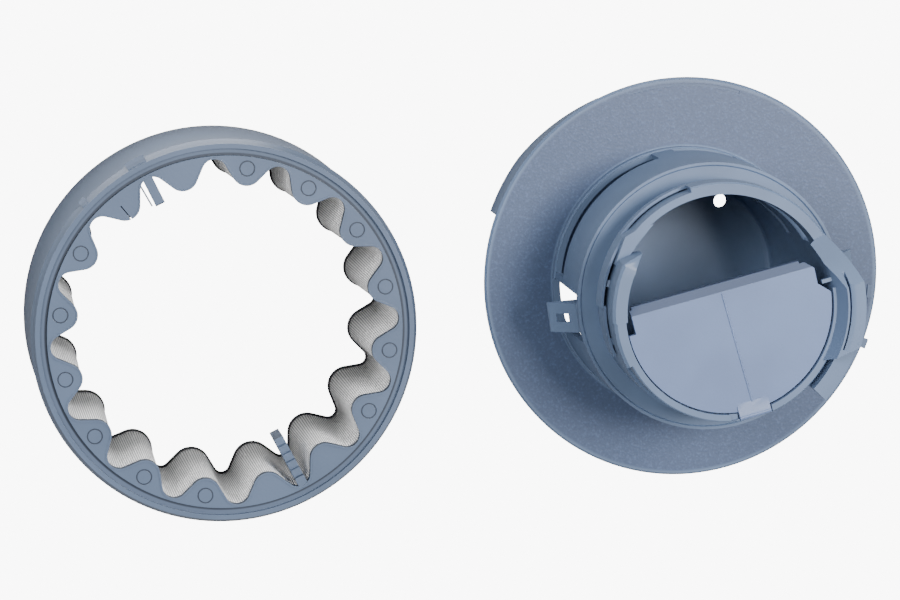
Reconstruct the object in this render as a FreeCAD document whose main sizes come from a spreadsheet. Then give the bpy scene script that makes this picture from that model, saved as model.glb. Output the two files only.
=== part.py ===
import FreeCAD, Part
import Sketcher
import math
import os
import re

# Two-piece dishwasher filter: a wavy mesh ring and a flanged collar with a flap, side by side on one floor.
# Lengths are in millimetres and angles in degrees. X runs through both centres, Z is up from the floor.

SIZES = {
    # How the two pieces lie
    "centre_distance": 179.8,
    "ring_turn": 11.7,
    "collar_turn": -4.6,
    # Ring frame
    "ring_tall": 51.6,
    "rim_radius": 71.0,
    "rim_deep": 3.7,
    "rim_slope_wide": 1.5,
    "rim_flat_wide": 1.75,
    "groove_deep": 1.5,
    "groove_wide": 2.55,
    "plate_deep": 0.2,
    "plate_thick": 2.6,
    "drum_radius": 70.2,
    "drum_wall": 2.0,
    "nub_start": 99.3,
    "nub_sweep": 6.0,
    "nub_proud": 1.1,
    "nub_tall": 3.2,
    "small_nub_start": 120.3,
    "small_nub_sweep": 2.4,
    # Wave of the plate and of the mesh
    "lobe_count": 16,
    "tip_radius": 54.4,
    "valley_radius": 64.0,
    "tip_round": 5.6,
    "valley_round": 4.6,
    "edge_bead": 0.7,
    "edge_bead_tall": 0.25,
    "mesh_set_back": 0.5,
    "mesh_lean": 1.7,
    "mesh_wall": 0.6,
    "mesh_gaps": 112,
    "mesh_gap_wide": 0.7,
    "mesh_hem": 2.0,
    "hoop_wall": 1.4,
    "hoop_tall": 1.6,
    "hoop_tie_wide": 2.4,
    "ejector_mark_ring": 60.8,
    "ejector_mark_wide": 5.9,
    "ejector_mark_line": 0.5,
    "ejector_mark_deep": 0.25,
    "slit_angle": 113.7,
    "slit_wide": 0.35,
    "slit_inner": 53.5,
    "slit_outer": 60.8,
    # Fins of the ring
    "fin_wide": 3.6,
    "fin_nose": 0.5,
    "fin_clearance": 0.8,
    "fin_treads": 5,
    "long_fin_angle": 281.25,
    "long_fin_top": 60.6,
    "long_fin_reach": 46.8,
    "long_fin_drop": 12.0,
    "long_fin_deep": 26.5,
    "short_fin_angle": 101.25,
    "short_fin_reach": 53.2,
    "short_fin_thick": 2.4,
    "strip_angle": 104.4,
    "strip_wide": 0.6,
    "strip_deep": 5.0,
    "strip_root": 61.8,
    # Collar flange
    "flange_radius": 76.7,
    "flange_top": 12.5,
    "flange_thick": 2.4,
    "flange_round": 0.8,
    "skirt_wall": 2.6,
    "skirt_start": 117.0,
    "skirt_full": 145.0,
    "skirt_end": 162.0,
    "flange_line_set_back": 3.4,
    "flange_line_wide": 1.1,
    "flange_line_deep": 0.3,
    "flange_line_start": 74.6,
    "flange_line_end": 108.6,
    "flange_nub_start": 339.2,
    "flange_nub_sweep": 2.8,
    "flange_nub_proud": 1.5,
    "side_ridge_wide": 1.0,
    "side_ridge_tall": 0.3,
    "side_ridge_end": 354.0,
    "flange_pad_set_back": 1.1,
    "flange_pad_wide": 2.5,
    "flange_pad_sweep": 4.0,
    "flange_pad_tall": 0.6,
    # Collar hub and cup
    "hub_radius": 50.1,
    "hub_wall": 2.2,
    "foot_bead": 0.5,
    "foot_bead_tall": 3.4,
    "shoulder_height": 57.5,
    "shoulder_thick": 2.2,
    "shoulder_bead": 0.5,
    "cup_floor": 2.2,
    "cup_radius": 37.5,
    "cup_round": 3.0,
    "bore_radius": 40.9,
    "sleeve_wall": 1.8,
    "tube_radius": 42.6,
    "drain_ring": 32.5,
    "drain_angle": 60.0,
    "drain_wide": 5.2,
    # Slots of the collar
    "wall_slot_low": 16.3,
    "first_slot_start": 107.0,
    "first_slot_end": 177.0,
    "first_slot_high": 29.5,
    "second_slot_start": 70.0,
    "second_slot_end": 98.0,
    "second_slot_high": 22.5,
    "third_slot_start": 222.0,
    "third_slot_end": 240.0,
    "bore_slot_start": 33.0,
    "bore_slot_end": 64.0,
    "upper_slot_low": 60.5,
    "upper_slot_high": 69.2,
    "lower_slot_low": 40.5,
    "lower_slot_high": 46.5,
    # Lugs of the collar
    "lug_angle": 190.0,
    "lug_wide": 11.0,
    "lug_thick": 1.8,
    "lug_reach": 58.6,
    "lug_drop": 3.2,
    "lug_tip_height": 43.6,
    "lug_web": 1.2,
    "lug_web_deep": 8.0,
    "lug_window_long": 4.0,
    "lug_window_wide": 3.2,
    "lug_gap_start": 179.8,
    "lug_gap_end": 200.8,
    "lug_gap_sill": 1.4,
    "floor_gap_start": 182.0,
    "floor_gap_end": 212.0,
    "gap_clearance": 1.2,
    # Mouth of the collar
    "arc_top": 78.6,
    "arc_radius": 45.4,
    "arc_low": 69.2,
    "arc_under": 2.6,
    "arc_edge": 0.6,
    "arc_wide_end": 108.0,
    "arc_narrow": 43.6,
    "arc_end": 150.0,
    "lip_radius": 45.2,
    "lip_tail_radius": 44.2,
    "lip_wall": 1.0,
    "lip_floor_low": 66.0,
    "lip_floor_thick": 1.2,
    "lip_chamfer": 1.4,
    "lip_front_top": 71.0,
    "lip_back_top": 76.0,
    "lip_tail_start": 182.0,
    "lip_end": 206.0,
    "block_tip": 132.5,
    "block_start": 136.5,
    "block_inner": 143.9,
    "block_outer": 146.4,
    "block_end": 160.0,
    "seat_radius": 38.8,
    "rim_wall": 2.6,
    "rim_top": 89.2,
    "rim_foot_deep": 7.0,
    "rim_edge": 0.4,
    "band_start": 148.3,
    "band_slant": 10.0,
    "band_fall": 4.2,
    "band_seat": 38.2,
    "band_wall": 4.7,
    "band_tail_wall": 4.3,
    "band_drop": 4.7,
    "band_edge": 1.0,
    "band_end": 210.0,
    "bridge_wide": 2.6,
    "first_bridge": 170.0,
    "second_bridge": 199.0,
    "ledge_below": 2.8,
    "ledge_thick": 0.8,
    "seat_ledge": 1.6,
    "ledge_margin": 8.0,
    "ear_top": 95.6,
    "ear_start": 318.0,
    "ear_inner_start": 330.0,
    "ear_outer_start": 345.6,
    "ear_slope_start": 372.0,
    "ear_slope_end": 396.0,
    "ear_band_wide": 6.8,
    "ear_ridge": 42.4,
    "ear_ridge_wall": 0.7,
    "ear_groove_wide": 0.9,
    "ear_groove_deep": 5.0,
    "ear_groove_start": 341.5,
    "ear_facet_wide": 1.8,
    "ear_facet_deep": 1.0,
    "ear_cone_low": 86.5,
    "ear_step_top": 88.0,
    "ear_step_proud": 1.0,
    "stop_angle": 16.5,
    "stop_reach": 35.6,
    "stop_wide": 1.4,
    "stop_thick": 1.6,
    # Flap
    "flap_clearance": 0.5,
    "flap_top": 88.0,
    "flap_thick": 2.0,
    "chord_left_radius": 37.2,
    "chord_left_angle": 180.0,
    "chord_right_radius": 31.9,
    "chord_right_angle": 33.6,
    "notch_radius": 34.6,
    "notch_angle": 26.2,
    "notch_foot_radius": 33.9,
    "notch_foot_angle": 16.3,
    "corner_angle": 10.0,
    "left_slot_radius": 35.7,
    "left_corner_angle": 195.0,
    "bar_wide": 3.6,
    "bar_deep": 5.0,
    "bar_bevel": 2.8,
    "bar_margin": 1.0,
    "rib_wide": 0.6,
    "rib_tall": 0.35,
    "rib_along_chord": 0.52,
    "hinge_angle": 286.0,
    "hinge_radius": 40.1,
    "hinge_height": 88.4,
    "hinge_wide": 12.0,
    "knuckle_radius": 1.0,
    "hinge_clearance": 0.4,
    "strap_long": 3.5,
    "strap_thick": 1.8,
    "relief_wide": 3.0,
    "relief_deep": 1.6,
}

# How far a form runs into the one that carries it, and a cutting tool past the face that it leaves.
OVERLAP = "0.5"
OVERRUN = "1"
FULL_TURN = 360

document = FreeCAD.newDocument("dishwasher_filter")
sheet = document.addObject("Spreadsheet::Sheet", "Sizes")


def fill_sheet():
    """One row per driving size: its name, and its value under an alias."""
    for row, (alias, value) in enumerate(SIZES.items(), start=1):
        sheet.set(f"A{row}", alias.replace("_", " "))
        sheet.set(f"B{row}", str(value))
        sheet.setAlias(f"B{row}", alias)
    document.recompute()


def linked(text):
    """The same expression, with each alias read from the sheet."""
    return re.sub(r"[a-z][a-z_]*", lambda m: "Sizes." + m.group(0) if m.group(0) in SIZES else m.group(0), text)


def number(text):
    """The value of an expression in the sheet's aliases."""
    return float(sheet.evalExpression(text))


def count_of(alias):
    return int(round(number(alias)))


def add(kind, name, **bound):
    """A document object whose named properties follow expressions in the sheet."""
    item = document.addObject(kind, name)
    for key, text in bound.items():
        item.setExpression(key, linked(text))
    return item


def place(item, x="0", y="0", z="0", turn="0"):
    """Bind where an object stands and how far it is turned about Z."""
    for key, text in (("Base.x", x), ("Base.y", y), ("Base.z", z), ("Rotation.Angle", turn)):
        if text != "0":
            item.setExpression("Placement." + key, linked(text))
    return item


UP = FreeCAD.Vector(0, 0, 1)
PLANES = {
    "flat": FreeCAD.Rotation(),
    "side": FreeCAD.Rotation(FreeCAD.Vector(1, 0, 0), 90),
    "face": FreeCAD.Rotation(FreeCAD.Vector(1, 1, 1), 120),
}


def outline(name, points, plane):
    """A closed sketch of straight edges, each corner bound to two expressions."""
    sketch = document.addObject("Sketcher::SketchObject", name)
    sketch.Placement = FreeCAD.Placement(FreeCAD.Vector(), PLANES[plane])
    corners = [FreeCAD.Vector(number(across), number(up), 0) for across, up in points]
    for index, corner in enumerate(corners):
        following = corners[(index + 1) % len(corners)]
        sketch.addGeometry(Part.LineSegment(corner, following), False)
    for index in range(len(corners)):
        following = (index + 1) % len(corners)
        sketch.addConstraint(Sketcher.Constraint("Coincident", index, 2, following, 1))
    for index, (across, up) in enumerate(points):
        for way, text, value in (("DistanceX", across, corners[index].x), ("DistanceY", up, corners[index].y)):
            constraint = sketch.addConstraint(Sketcher.Constraint(way, index, 1, value))
            sketch.setExpression(f"Constraints[{constraint}]", linked(text))
    return sketch


def lathe(name, points, start="0", stop="360"):
    """A profile of (radius, height) corners turned about the Z axis between two angles."""
    turned = add("Part::Revolution", name, Angle=f"({stop}) - ({start})")
    turned.Source = outline(name + "_profile", points, "side")
    turned.Axis = UP
    turned.Solid = True
    return place(turned, turn=start)


def band(name, inner, outer, low, high, start="0", stop="360"):
    """A plain ring, or an arc of one."""
    return lathe(name, [(inner, low), (outer, low), (outer, high), (inner, high)], start, stop)


def plank(name, points, width, plane, turn="0"):
    """An outline pushed out to both sides of its plane, turned about Z."""
    pushed = add("Part::Extrusion", name, LengthFwd=width)
    pushed.Base = outline(name + "_outline", points, plane)
    pushed.DirMode = "Normal"
    pushed.Symmetric = True
    pushed.Solid = True
    return place(pushed, turn=turn)


def slab(name, points, low, high):
    """A flat outline raised from one height to another."""
    raised = add("Part::Extrusion", name, LengthFwd=f"({high}) - ({low})")
    raised.Base = outline(name + "_outline", points, "flat")
    raised.DirMode = "Normal"
    raised.Solid = True
    return place(raised, z=low)


def rod(name, radius, low, high, x="0", y="0"):
    cylinder = add("Part::Cylinder", name, Radius=radius, Height=f"({high}) - ({low})")
    return place(cylinder, x=x, y=y, z=low)


def fuse(name, items):
    joined = document.addObject("Part::MultiFuse", name)
    joined.Shapes = items
    return joined


def cut(name, base, tool):
    rest = document.addObject("Part::Cut", name)
    rest.Base = base
    rest.Tool = tool
    return rest


def common(name, first, second):
    shared = document.addObject("Part::MultiCommon", name)
    shared.Shapes = [first, second]
    return shared


def fixed_shape(name, shape):
    """An object for a curved form that is worked out from the sheet's values."""
    item = document.addObject("Part::Feature", name)
    item.Shape = shape
    return item


def polar(radius, angle):
    """Expressions for a point given by its radius and angle."""
    return f"({radius}) * cos({angle})", f"({radius}) * sin({angle})"


def wave_wire(offset, height):
    """Closed wavy line about Z: round tips, round valleys and straight flanks between them."""
    lobes = count_of("lobe_count")
    half = math.pi / lobes
    tip_round = number("tip_round") - offset
    valley_round = number("valley_round") + offset
    tip_edge = number("tip_radius") + offset
    valley_edge = number("valley_radius") + offset

    def at(radius, angle):
        return FreeCAD.Vector(radius * math.cos(angle), radius * math.sin(angle), height)

    tip_centre = at(tip_edge + tip_round, 0)
    valley_centre = at(valley_edge - valley_round, half)
    between = valley_centre - tip_centre
    lean = math.atan2(between.y, between.x) + math.acos((tip_round + valley_round) / between.Length)
    normal = FreeCAD.Vector(math.cos(lean), math.sin(lean), 0)
    flank_start = tip_centre + normal * tip_round
    flank_end = valley_centre - normal * valley_round

    def turned(point, angle, mirrored=False):
        flipped = FreeCAD.Vector(point.x, -point.y if mirrored else point.y, height)
        return FreeCAD.Rotation(UP, math.degrees(angle)).multVec(flipped)

    edges = []
    for lobe in range(lobes):
        turn = 2 * half * lobe
        following = turn + 2 * half
        tip_from, tip_to = turned(flank_start, turn, True), turned(flank_start, turn)
        valley_from, valley_to = turned(flank_end, turn), turned(flank_end, following, True)
        edges.append(Part.Arc(tip_from, at(tip_edge, turn), tip_to).toShape())
        edges.append(Part.LineSegment(tip_to, valley_from).toShape())
        edges.append(Part.Arc(valley_from, at(valley_edge, turn + half), valley_to).toShape())
        edges.append(Part.LineSegment(valley_to, turned(flank_start, following, True)).toShape())
    return Part.Wire(edges)


def wave_solid(offset, low, high):
    """Everything inside the wavy line, from one height to another."""
    face = Part.Face(wave_wire(offset, low))
    return face.extrude(UP * (high - low))


def wave_wall(inner, outer, low, high):
    """A wall that follows the wave between two offsets from it."""
    return wave_solid(outer, low, high).cut(wave_solid(inner, low, high))


def wave_taper(low_offset, high_offset, low, high):
    """Everything inside a wavy surface that leans from one offset to another."""
    return Part.makeLoft([wave_wire(low_offset, low), wave_wire(high_offset, high)], True, True)


RING_X = "-(centre_distance + flange_radius - rim_radius) / 2"
COLLAR_X = "(centre_distance - flange_radius + rim_radius) / 2"

PLATE_TOP = "(ring_tall - plate_deep)"
PLATE_LOW = "(ring_tall - plate_deep - plate_thick)"
RIM_TOP_OUTER = "(rim_radius - rim_slope_wide)"
GROOVE_OUTER = "(rim_radius - rim_slope_wide - rim_flat_wide)"
PLATE_OUTER = "(rim_radius - rim_slope_wide - rim_flat_wide - groove_wide)"
DRUM_INNER = "(drum_radius - drum_wall)"
MESH_FOOT = "(mesh_set_back - mesh_lean)"
FIN_ROOT = f"{PLATE_OUTER} - {OVERLAP}"


def make_ring_frame():
    """Drum wall, grooved rim, lobed plate, two fins and the thin hoop that ends the mesh."""
    rim = lathe("rim_and_drum", [
        ("drum_radius", "0"),
        ("drum_radius", "ring_tall - rim_deep"),
        ("rim_radius", "ring_tall - rim_deep"),
        (RIM_TOP_OUTER, "ring_tall"),
        (GROOVE_OUTER, "ring_tall"),
        (GROOVE_OUTER, "ring_tall - groove_deep"),
        (PLATE_OUTER, "ring_tall - groove_deep"),
        (PLATE_OUTER, PLATE_TOP),
        ("tip_radius - tip_round", PLATE_TOP),
        ("tip_radius - tip_round", PLATE_LOW),
        (DRUM_INNER, PLATE_LOW),
        (DRUM_INNER, "0"),
    ])
    low, top, past = number(PLATE_LOW), number(PLATE_TOP), number(OVERRUN)
    opening = fixed_shape("plate_opening", wave_solid(0, low - past, top + past))
    bead_tall = number("edge_bead_tall")
    bead = fixed_shape("plate_edge_bead", wave_wall(0, number("edge_bead"), top - bead_tall, top + bead_tall))
    foot = number(MESH_FOOT)
    hoop = fixed_shape("mesh_hoop", wave_wall(foot, foot + number("hoop_wall"), 0, number("hoop_tall")))
    frame = cut("lobed_frame", rim, opening)
    joined = [frame, bead, hoop, long_fin(), short_fin(), hanging_strip()] + rim_nubs() + hoop_ties()
    body = fuse("frame_with_fins", joined)
    ring = cut("ring_frame", body, fuse("frame_cuts", ejector_marks() + [slit()]))
    return finish(ring, "ring_frame", RING_X, "ring_turn")


def rim_nubs():
    """Two low nubs that carry the rim's slope a little further out."""
    low = "ring_tall - rim_deep"
    points = [
        (RIM_TOP_OUTER, low),
        ("rim_radius + nub_proud", low),
        (f"{RIM_TOP_OUTER} + nub_proud / 2", f"{low} + nub_tall"),
        (RIM_TOP_OUTER, f"{low} + nub_tall"),
    ]
    return [
        lathe(f"rim_nub_{index}", points, f"{name}_start", f"{name}_start + {name}_sweep")
        for index, name in enumerate(("nub", "small_nub"))]


def hoop_ties():
    """Short bars from the hoop's valleys to the drum wall; water leaves between them."""
    inner = f"valley_radius + {MESH_FOOT} + {OVERLAP}"
    outer = f"{DRUM_INNER} + {OVERLAP}"
    points = [(inner, "0"), (outer, "0"), (outer, "hoop_tall"), (inner, "hoop_tall")]
    lobes = count_of("lobe_count")
    return [
        plank(f"hoop_tie_{index}", points, "hoop_tie_wide", "side", turn=f"({index} + 0.5) * 360 / {lobes}")
        for index in range(lobes)]


def long_fin():
    """Fin that reaches into the ring and steps down beside the mesh in even treads."""
    treads = count_of("fin_treads")
    run = f"(long_fin_top - long_fin_reach) / {treads}"
    fall = f"long_fin_drop / {treads}"
    points = [(FIN_ROOT, PLATE_TOP), ("long_fin_top", PLATE_TOP)]
    for tread in range(treads):
        height = f"{PLATE_TOP} - {tread + 1} * {fall}"
        points.append((f"long_fin_top - {tread} * {run}", height))
        points.append((f"long_fin_top - {tread + 1} * {run}", height))
    points += [
        ("long_fin_reach", f"{PLATE_TOP} - long_fin_deep"),
        ("long_fin_reach + fin_nose", f"{PLATE_TOP} - long_fin_deep - fin_nose"),
        ("valley_radius - fin_clearance", f"{PLATE_TOP} - long_fin_deep / 2"),
        ("valley_radius - fin_clearance", PLATE_LOW),
        (FIN_ROOT, PLATE_LOW),
    ]
    return plank("long_fin", points, "fin_wide", "side", turn="long_fin_angle")


def short_fin():
    """Flat fin level with the plate, opposite the long one."""
    low = f"{PLATE_TOP} - short_fin_thick"
    points = [
        (FIN_ROOT, PLATE_TOP),
        ("short_fin_reach + fin_nose", PLATE_TOP),
        ("short_fin_reach", f"{PLATE_TOP} - fin_nose"),
        ("short_fin_reach", low),
        (FIN_ROOT, low),
    ]
    return plank("short_fin", points, "fin_wide", "side", turn="short_fin_angle")


def hanging_strip():
    """Thin strip beside the short fin: held in the plate, then hung clear of the mesh."""
    reach = "short_fin_reach + strip_wide"
    points = [
        (FIN_ROOT, f"{PLATE_LOW} + {OVERLAP}"),
        (reach, f"{PLATE_LOW} + {OVERLAP}"),
        (reach, f"{PLATE_TOP} - strip_deep"),
        ("strip_root", f"{PLATE_TOP} - strip_deep"),
        ("strip_root", PLATE_LOW),
        (FIN_ROOT, PLATE_LOW),
    ]
    return plank("hanging_strip", points, "strip_wide", "side", turn="strip_angle")


def beside_fin(angle, pitch):
    """Whether a lobe at this angle is next to one of the fins."""
    half_turn = FULL_TURN / 2
    gaps = [abs((angle - number(fin) + half_turn) % FULL_TURN - half_turn)
            for fin in ("long_fin_angle", "short_fin_angle")]
    return min(gaps) < pitch


def ejector_marks():
    """Round grooves on the lobes, apart from the lobes beside the two fins."""
    lobes = count_of("lobe_count")
    pitch = FULL_TURN / lobes
    low, high = f"{PLATE_TOP} - ejector_mark_deep", f"{PLATE_TOP} + {OVERRUN}"
    grooves = []
    for lobe in range(lobes):
        if beside_fin(lobe * pitch, pitch):
            continue
        x, y = polar("ejector_mark_ring", f"{lobe} * 360 / {lobes}")
        disc = rod(f"mark_disc_{lobe}", "ejector_mark_wide / 2", low, high, x, y)
        island = rod(f"mark_island_{lobe}", "ejector_mark_wide / 2 - ejector_mark_line", low, high, x, y)
        grooves.append(cut(f"mark_groove_{lobe}", disc, island))
    return grooves


def slit():
    """Narrow radial slit through one lobe."""
    low, high = f"{PLATE_LOW} - {OVERRUN}", f"{PLATE_TOP} + {OVERRUN}"
    points = [("slit_inner", low), ("slit_outer", low), ("slit_outer", high), ("slit_inner", high)]
    return plank("lobe_slit", points, "slit_wide", "side", turn="slit_angle")


def make_mesh_sleeve():
    """Wavy strainer wall between the plate and the hoop: it leans inwards and has narrow upright gaps."""
    foot, head, wall = number(MESH_FOOT), number("mesh_set_back"), number("mesh_wall")
    low, high = number("hoop_tall"), number(PLATE_LOW)
    sleeve_wall = wave_taper(foot + wall, head + wall, low, high).cut(wave_taper(foot, head, low, high))
    count = count_of("mesh_gaps")
    gap, hem, deep = number("mesh_gap_wide"), number("mesh_hem"), number("mesh_lean + 3 * mesh_wall")
    points = wave_wire((foot + head + wall) / 2, 0).discretize(count + 1)[:count]
    gaps = []
    for index, point in enumerate(points):
        along = points[(index + 1) % count] - points[index - 1]
        box = Part.makeBox(gap, deep, high - low - 2 * hem)
        box.translate(FreeCAD.Vector(-gap / 2, -deep / 2, low + hem))
        box.rotate(FreeCAD.Vector(), UP, math.degrees(math.atan2(along.y, along.x)))
        box.translate(point)
        gaps.append(box)
    sleeve = fixed_shape("mesh_sleeve", sleeve_wall.cut(Part.makeCompound(gaps)))
    return finish(sleeve, "mesh_sleeve", RING_X, "ring_turn")


def bore_at(height):
    """Expression for the drafted bore's radius at a height above the floor."""
    return f"(cup_radius + (bore_radius - cup_radius) * (({height}) - cup_floor) / (arc_top - cup_floor))"


def sleeve_at(height):
    """Expression for the outside of the bore's wall, inside the hub."""
    return f"({bore_at(height)} + sleeve_wall)"


UNDER_FLANGE = "(flange_top - flange_thick)"
UNDER_SHOULDER = "(shoulder_height - shoulder_thick)"
HUB_INNER = "(hub_radius - hub_wall)"
CORNER = "cup_round * (1 - cos(45))"
RIM_FOOT = "(arc_top - rim_foot_deep)"


def collar_core():
    """Flange, hub wall, shoulder, tube and closed cup as one turned profile."""
    return lathe("collar_core", [
        ("0", "0"),
        ("cup_radius + sleeve_wall - cup_round", "0"),
        (f"cup_radius + sleeve_wall - {CORNER}", CORNER),
        ("cup_radius + sleeve_wall", "cup_round"),
        (sleeve_at("flange_top"), UNDER_FLANGE),
        ("flange_radius - flange_round", UNDER_FLANGE),
        ("flange_radius", f"{UNDER_FLANGE} + flange_round"),
        ("flange_radius", "flange_top - flange_round"),
        ("flange_radius - flange_round", "flange_top"),
        ("hub_radius + foot_bead", "flange_top"),
        ("hub_radius + foot_bead", "flange_top + foot_bead_tall - foot_bead"),
        ("hub_radius", "flange_top + foot_bead_tall"),
        ("hub_radius", "shoulder_height + shoulder_bead"),
        ("hub_radius - 2 * shoulder_bead", "shoulder_height + shoulder_bead"),
        ("hub_radius - 3 * shoulder_bead", "shoulder_height"),
        ("tube_radius", "shoulder_height"),
        ("tube_radius", "arc_top"),
        ("bore_radius", "arc_top"),
        (bore_at("cup_floor + cup_round"), "cup_floor + cup_round"),
        (f"cup_radius - {CORNER}", f"cup_floor + {CORNER}"),
        ("cup_radius - cup_round", "cup_floor"),
        ("0", "cup_floor"),
    ])


def hub_hollow():
    """Space between the bore's wall and the hub's wall, under the shoulder."""
    return lathe("hub_hollow", [
        (sleeve_at("flange_top"), "flange_top"),
        (HUB_INNER, "flange_top"),
        (HUB_INNER, UNDER_SHOULDER),
        (sleeve_at(UNDER_SHOULDER), UNDER_SHOULDER),
    ])


def flange_line():
    """Fine groove in the top of the flange, near its edge."""
    inner = "(flange_radius - flange_line_set_back)"
    return band("flange_line_groove", inner, f"{inner} + flange_line_wide", "flange_top - flange_line_deep",
                f"flange_top + {OVERRUN}", "flange_line_start", "flange_line_end")


def flange_marks():
    """Small nub on the flange's edge, a low pad further round and the fine ridge from one to the other."""
    nub_end = "flange_nub_start + flange_nub_sweep"
    nub = band("flange_nub", f"flange_radius - flange_round - {OVERLAP}", "flange_radius + flange_nub_proud",
               UNDER_FLANGE, "flange_top", "flange_nub_start", nub_end)
    pad_outer = "(flange_radius - flange_pad_set_back)"
    pad = band("flange_pad", f"{pad_outer} - flange_pad_wide", pad_outer, f"flange_top - {OVERLAP}",
               "flange_top + flange_pad_tall", "side_ridge_end", "side_ridge_end + flange_pad_sweep")
    middle = f"{pad_outer} - flange_pad_wide / 2"
    ridge = band("side_ridge", f"{middle} - side_ridge_wide / 2", f"{middle} + side_ridge_wide / 2",
                 f"flange_top - {OVERLAP}", "flange_top + side_ridge_tall", nub_end, "side_ridge_end")
    return [nub, pad, ridge]


def skirt(index, turn):
    """Ramp under the flange: it deepens to the floor and ends square."""
    start, full, stop = [name + turn for name in ("skirt_start", "skirt_full", "skirt_end")]
    ramp = band(f"skirt_band_{index}", "flange_radius - skirt_wall", "flange_radius", "0",
                f"{UNDER_FLANGE} + {OVERLAP}", start, stop)
    half = "flange_radius * sin((skirt_full - skirt_start) / 2)"
    margin = "3 * skirt_wall"
    points = [(f"-({half}) - {margin}", f"-{OVERRUN}"), (half, f"-{OVERRUN}"), (half, "0"),
              (f"-({half})", UNDER_FLANGE), (f"-({half}) - {margin}", UNDER_FLANGE)]
    wedge = plank(f"skirt_wedge_{index}", points, "4 * flange_radius", "face",
                  turn="(skirt_start + skirt_full) / 2" + turn)
    far_side = band(f"skirt_far_{index}", f"flange_radius - skirt_wall - {OVERRUN}", f"flange_radius + {OVERRUN}",
                    f"-2 * {OVERRUN}", "flange_top", full, f"{start} + 360 - ledge_margin")
    return cut(f"skirt_{index}", ramp, cut(f"skirt_clear_{index}", wedge, far_side))


def lug(index, turn):
    """Sprung latch: a tongue sloping out and down from the shoulder, with a web along each edge."""
    angle = "lug_angle" + turn
    top = "(shoulder_height - lug_drop)"
    tongue = plank(f"lug_tongue_{index}", [
        (HUB_INNER, top),
        ("hub_radius", top),
        ("lug_reach", "lug_tip_height"),
        ("lug_reach", "lug_tip_height - lug_thick"),
        ("hub_radius", f"{top} - lug_thick"),
        (HUB_INNER, f"{top} - lug_thick"),
    ], "lug_wide", "side", turn=angle)
    hanger = plank(f"lug_hanger_{index}", [
        (HUB_INNER, f"{top} - lug_thick"),
        ("hub_radius", f"{top} - lug_thick"),
        ("hub_radius", f"shoulder_height - {OVERLAP}"),
        (HUB_INNER, f"shoulder_height - {OVERLAP}"),
    ], "lug_wide", "side", turn=angle)
    webs = plank(f"lug_webs_{index}", [
        (HUB_INNER, top),
        ("hub_radius", top),
        (f"lug_reach - {OVERLAP}", "lug_tip_height"),
        (f"lug_reach - {OVERLAP}", "lug_tip_height - lug_thick"),
        (HUB_INNER, f"{top} - lug_web_deep"),
    ], "lug_wide", "side", turn=angle)
    inside = upright_block(f"lug_inside_{index}", f"{HUB_INNER} - {OVERRUN}", f"lug_reach + {OVERRUN}",
                           "lug_wide - 2 * lug_web", angle)
    middle = "(hub_radius + lug_reach) / 2"
    window = upright_block(f"lug_window_{index}", f"{middle} - lug_window_long / 2",
                           f"{middle} + lug_window_long / 2", "lug_window_wide", angle)
    solid = fuse(f"lug_solid_{index}", [tongue, hanger, cut(f"lug_edges_{index}", webs, inside)])
    return cut(f"lug_{index}", solid, window)


def upright_block(name, inner, outer, width, angle):
    """Cutting block that spans a lug's whole height."""
    low, high = "lug_tip_height / 2", f"shoulder_height + {OVERRUN}"
    points = [(inner, low), (outer, low), (outer, high), (inner, high)]
    return plank(name, points, width, "side", turn=angle)


def lug_gaps(index, turn):
    """Gap in the hub wall round a lug, and the gap in the floor inside it."""
    wall = band(f"lug_wall_gap_{index}", f"{HUB_INNER} - {OVERRUN}", f"hub_radius + {OVERRUN}",
                "flange_top + lug_gap_sill", UNDER_SHOULDER, "lug_gap_start" + turn, "lug_gap_end" + turn)
    ground = band(f"lug_floor_gap_{index}", f"{sleeve_at('flange_top')} + gap_clearance", HUB_INNER,
                  f"{UNDER_FLANGE} - {OVERRUN}", f"flange_top + {OVERRUN}",
                  "floor_gap_start" + turn, "floor_gap_end" + turn)
    return [wall, ground]


def wall_slots():
    """Water slots low in the hub wall, and two slots high in the bore."""
    hub = (f"{HUB_INNER} - {OVERRUN}", f"hub_radius + {OVERRUN}")
    bore = (f"{bore_at('lower_slot_low')} - sleeve_wall", f"tube_radius + {OVERRUN}")
    return [
        band("first_slot", *hub, "wall_slot_low", "first_slot_high", "first_slot_start", "first_slot_end"),
        band("second_slot", *hub, "wall_slot_low", "second_slot_high", "second_slot_start", "second_slot_end"),
        band("third_slot", *hub, "wall_slot_low", "first_slot_high", "third_slot_start", "third_slot_end"),
        band("upper_bore_slot", *bore, "upper_slot_low", "upper_slot_high", "bore_slot_start", "bore_slot_end"),
        band("lower_bore_slot", *bore, "lower_slot_low", "lower_slot_high", "bore_slot_start", "bore_slot_end"),
    ]


TUBE_IN = f"tube_radius - {OVERLAP}"


def mouth_arc():
    """Broad upper arc of the mouth, narrowing where the open channel begins."""
    wide = lathe("mouth_arc_wide", [
        (TUBE_IN, "arc_low - arc_under"),
        ("arc_radius", "arc_low"),
        ("arc_radius", "arc_top - arc_edge"),
        ("arc_radius - arc_edge", "arc_top"),
        ("bore_radius", "arc_top"),
        ("bore_radius", f"arc_top - {OVERRUN}"),
    ], "ear_slope_start - 360", "arc_wide_end")
    narrow = lathe("mouth_arc_narrow", [
        (TUBE_IN, "arc_low"),
        ("arc_narrow", f"arc_low + {OVERRUN}"),
        ("arc_narrow", "arc_top"),
        ("bore_radius", "arc_top"),
        ("bore_radius", f"arc_top - {OVERRUN}"),
    ], f"arc_wide_end - {OVERRUN}", "arc_end")
    return [wide, narrow]


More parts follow.
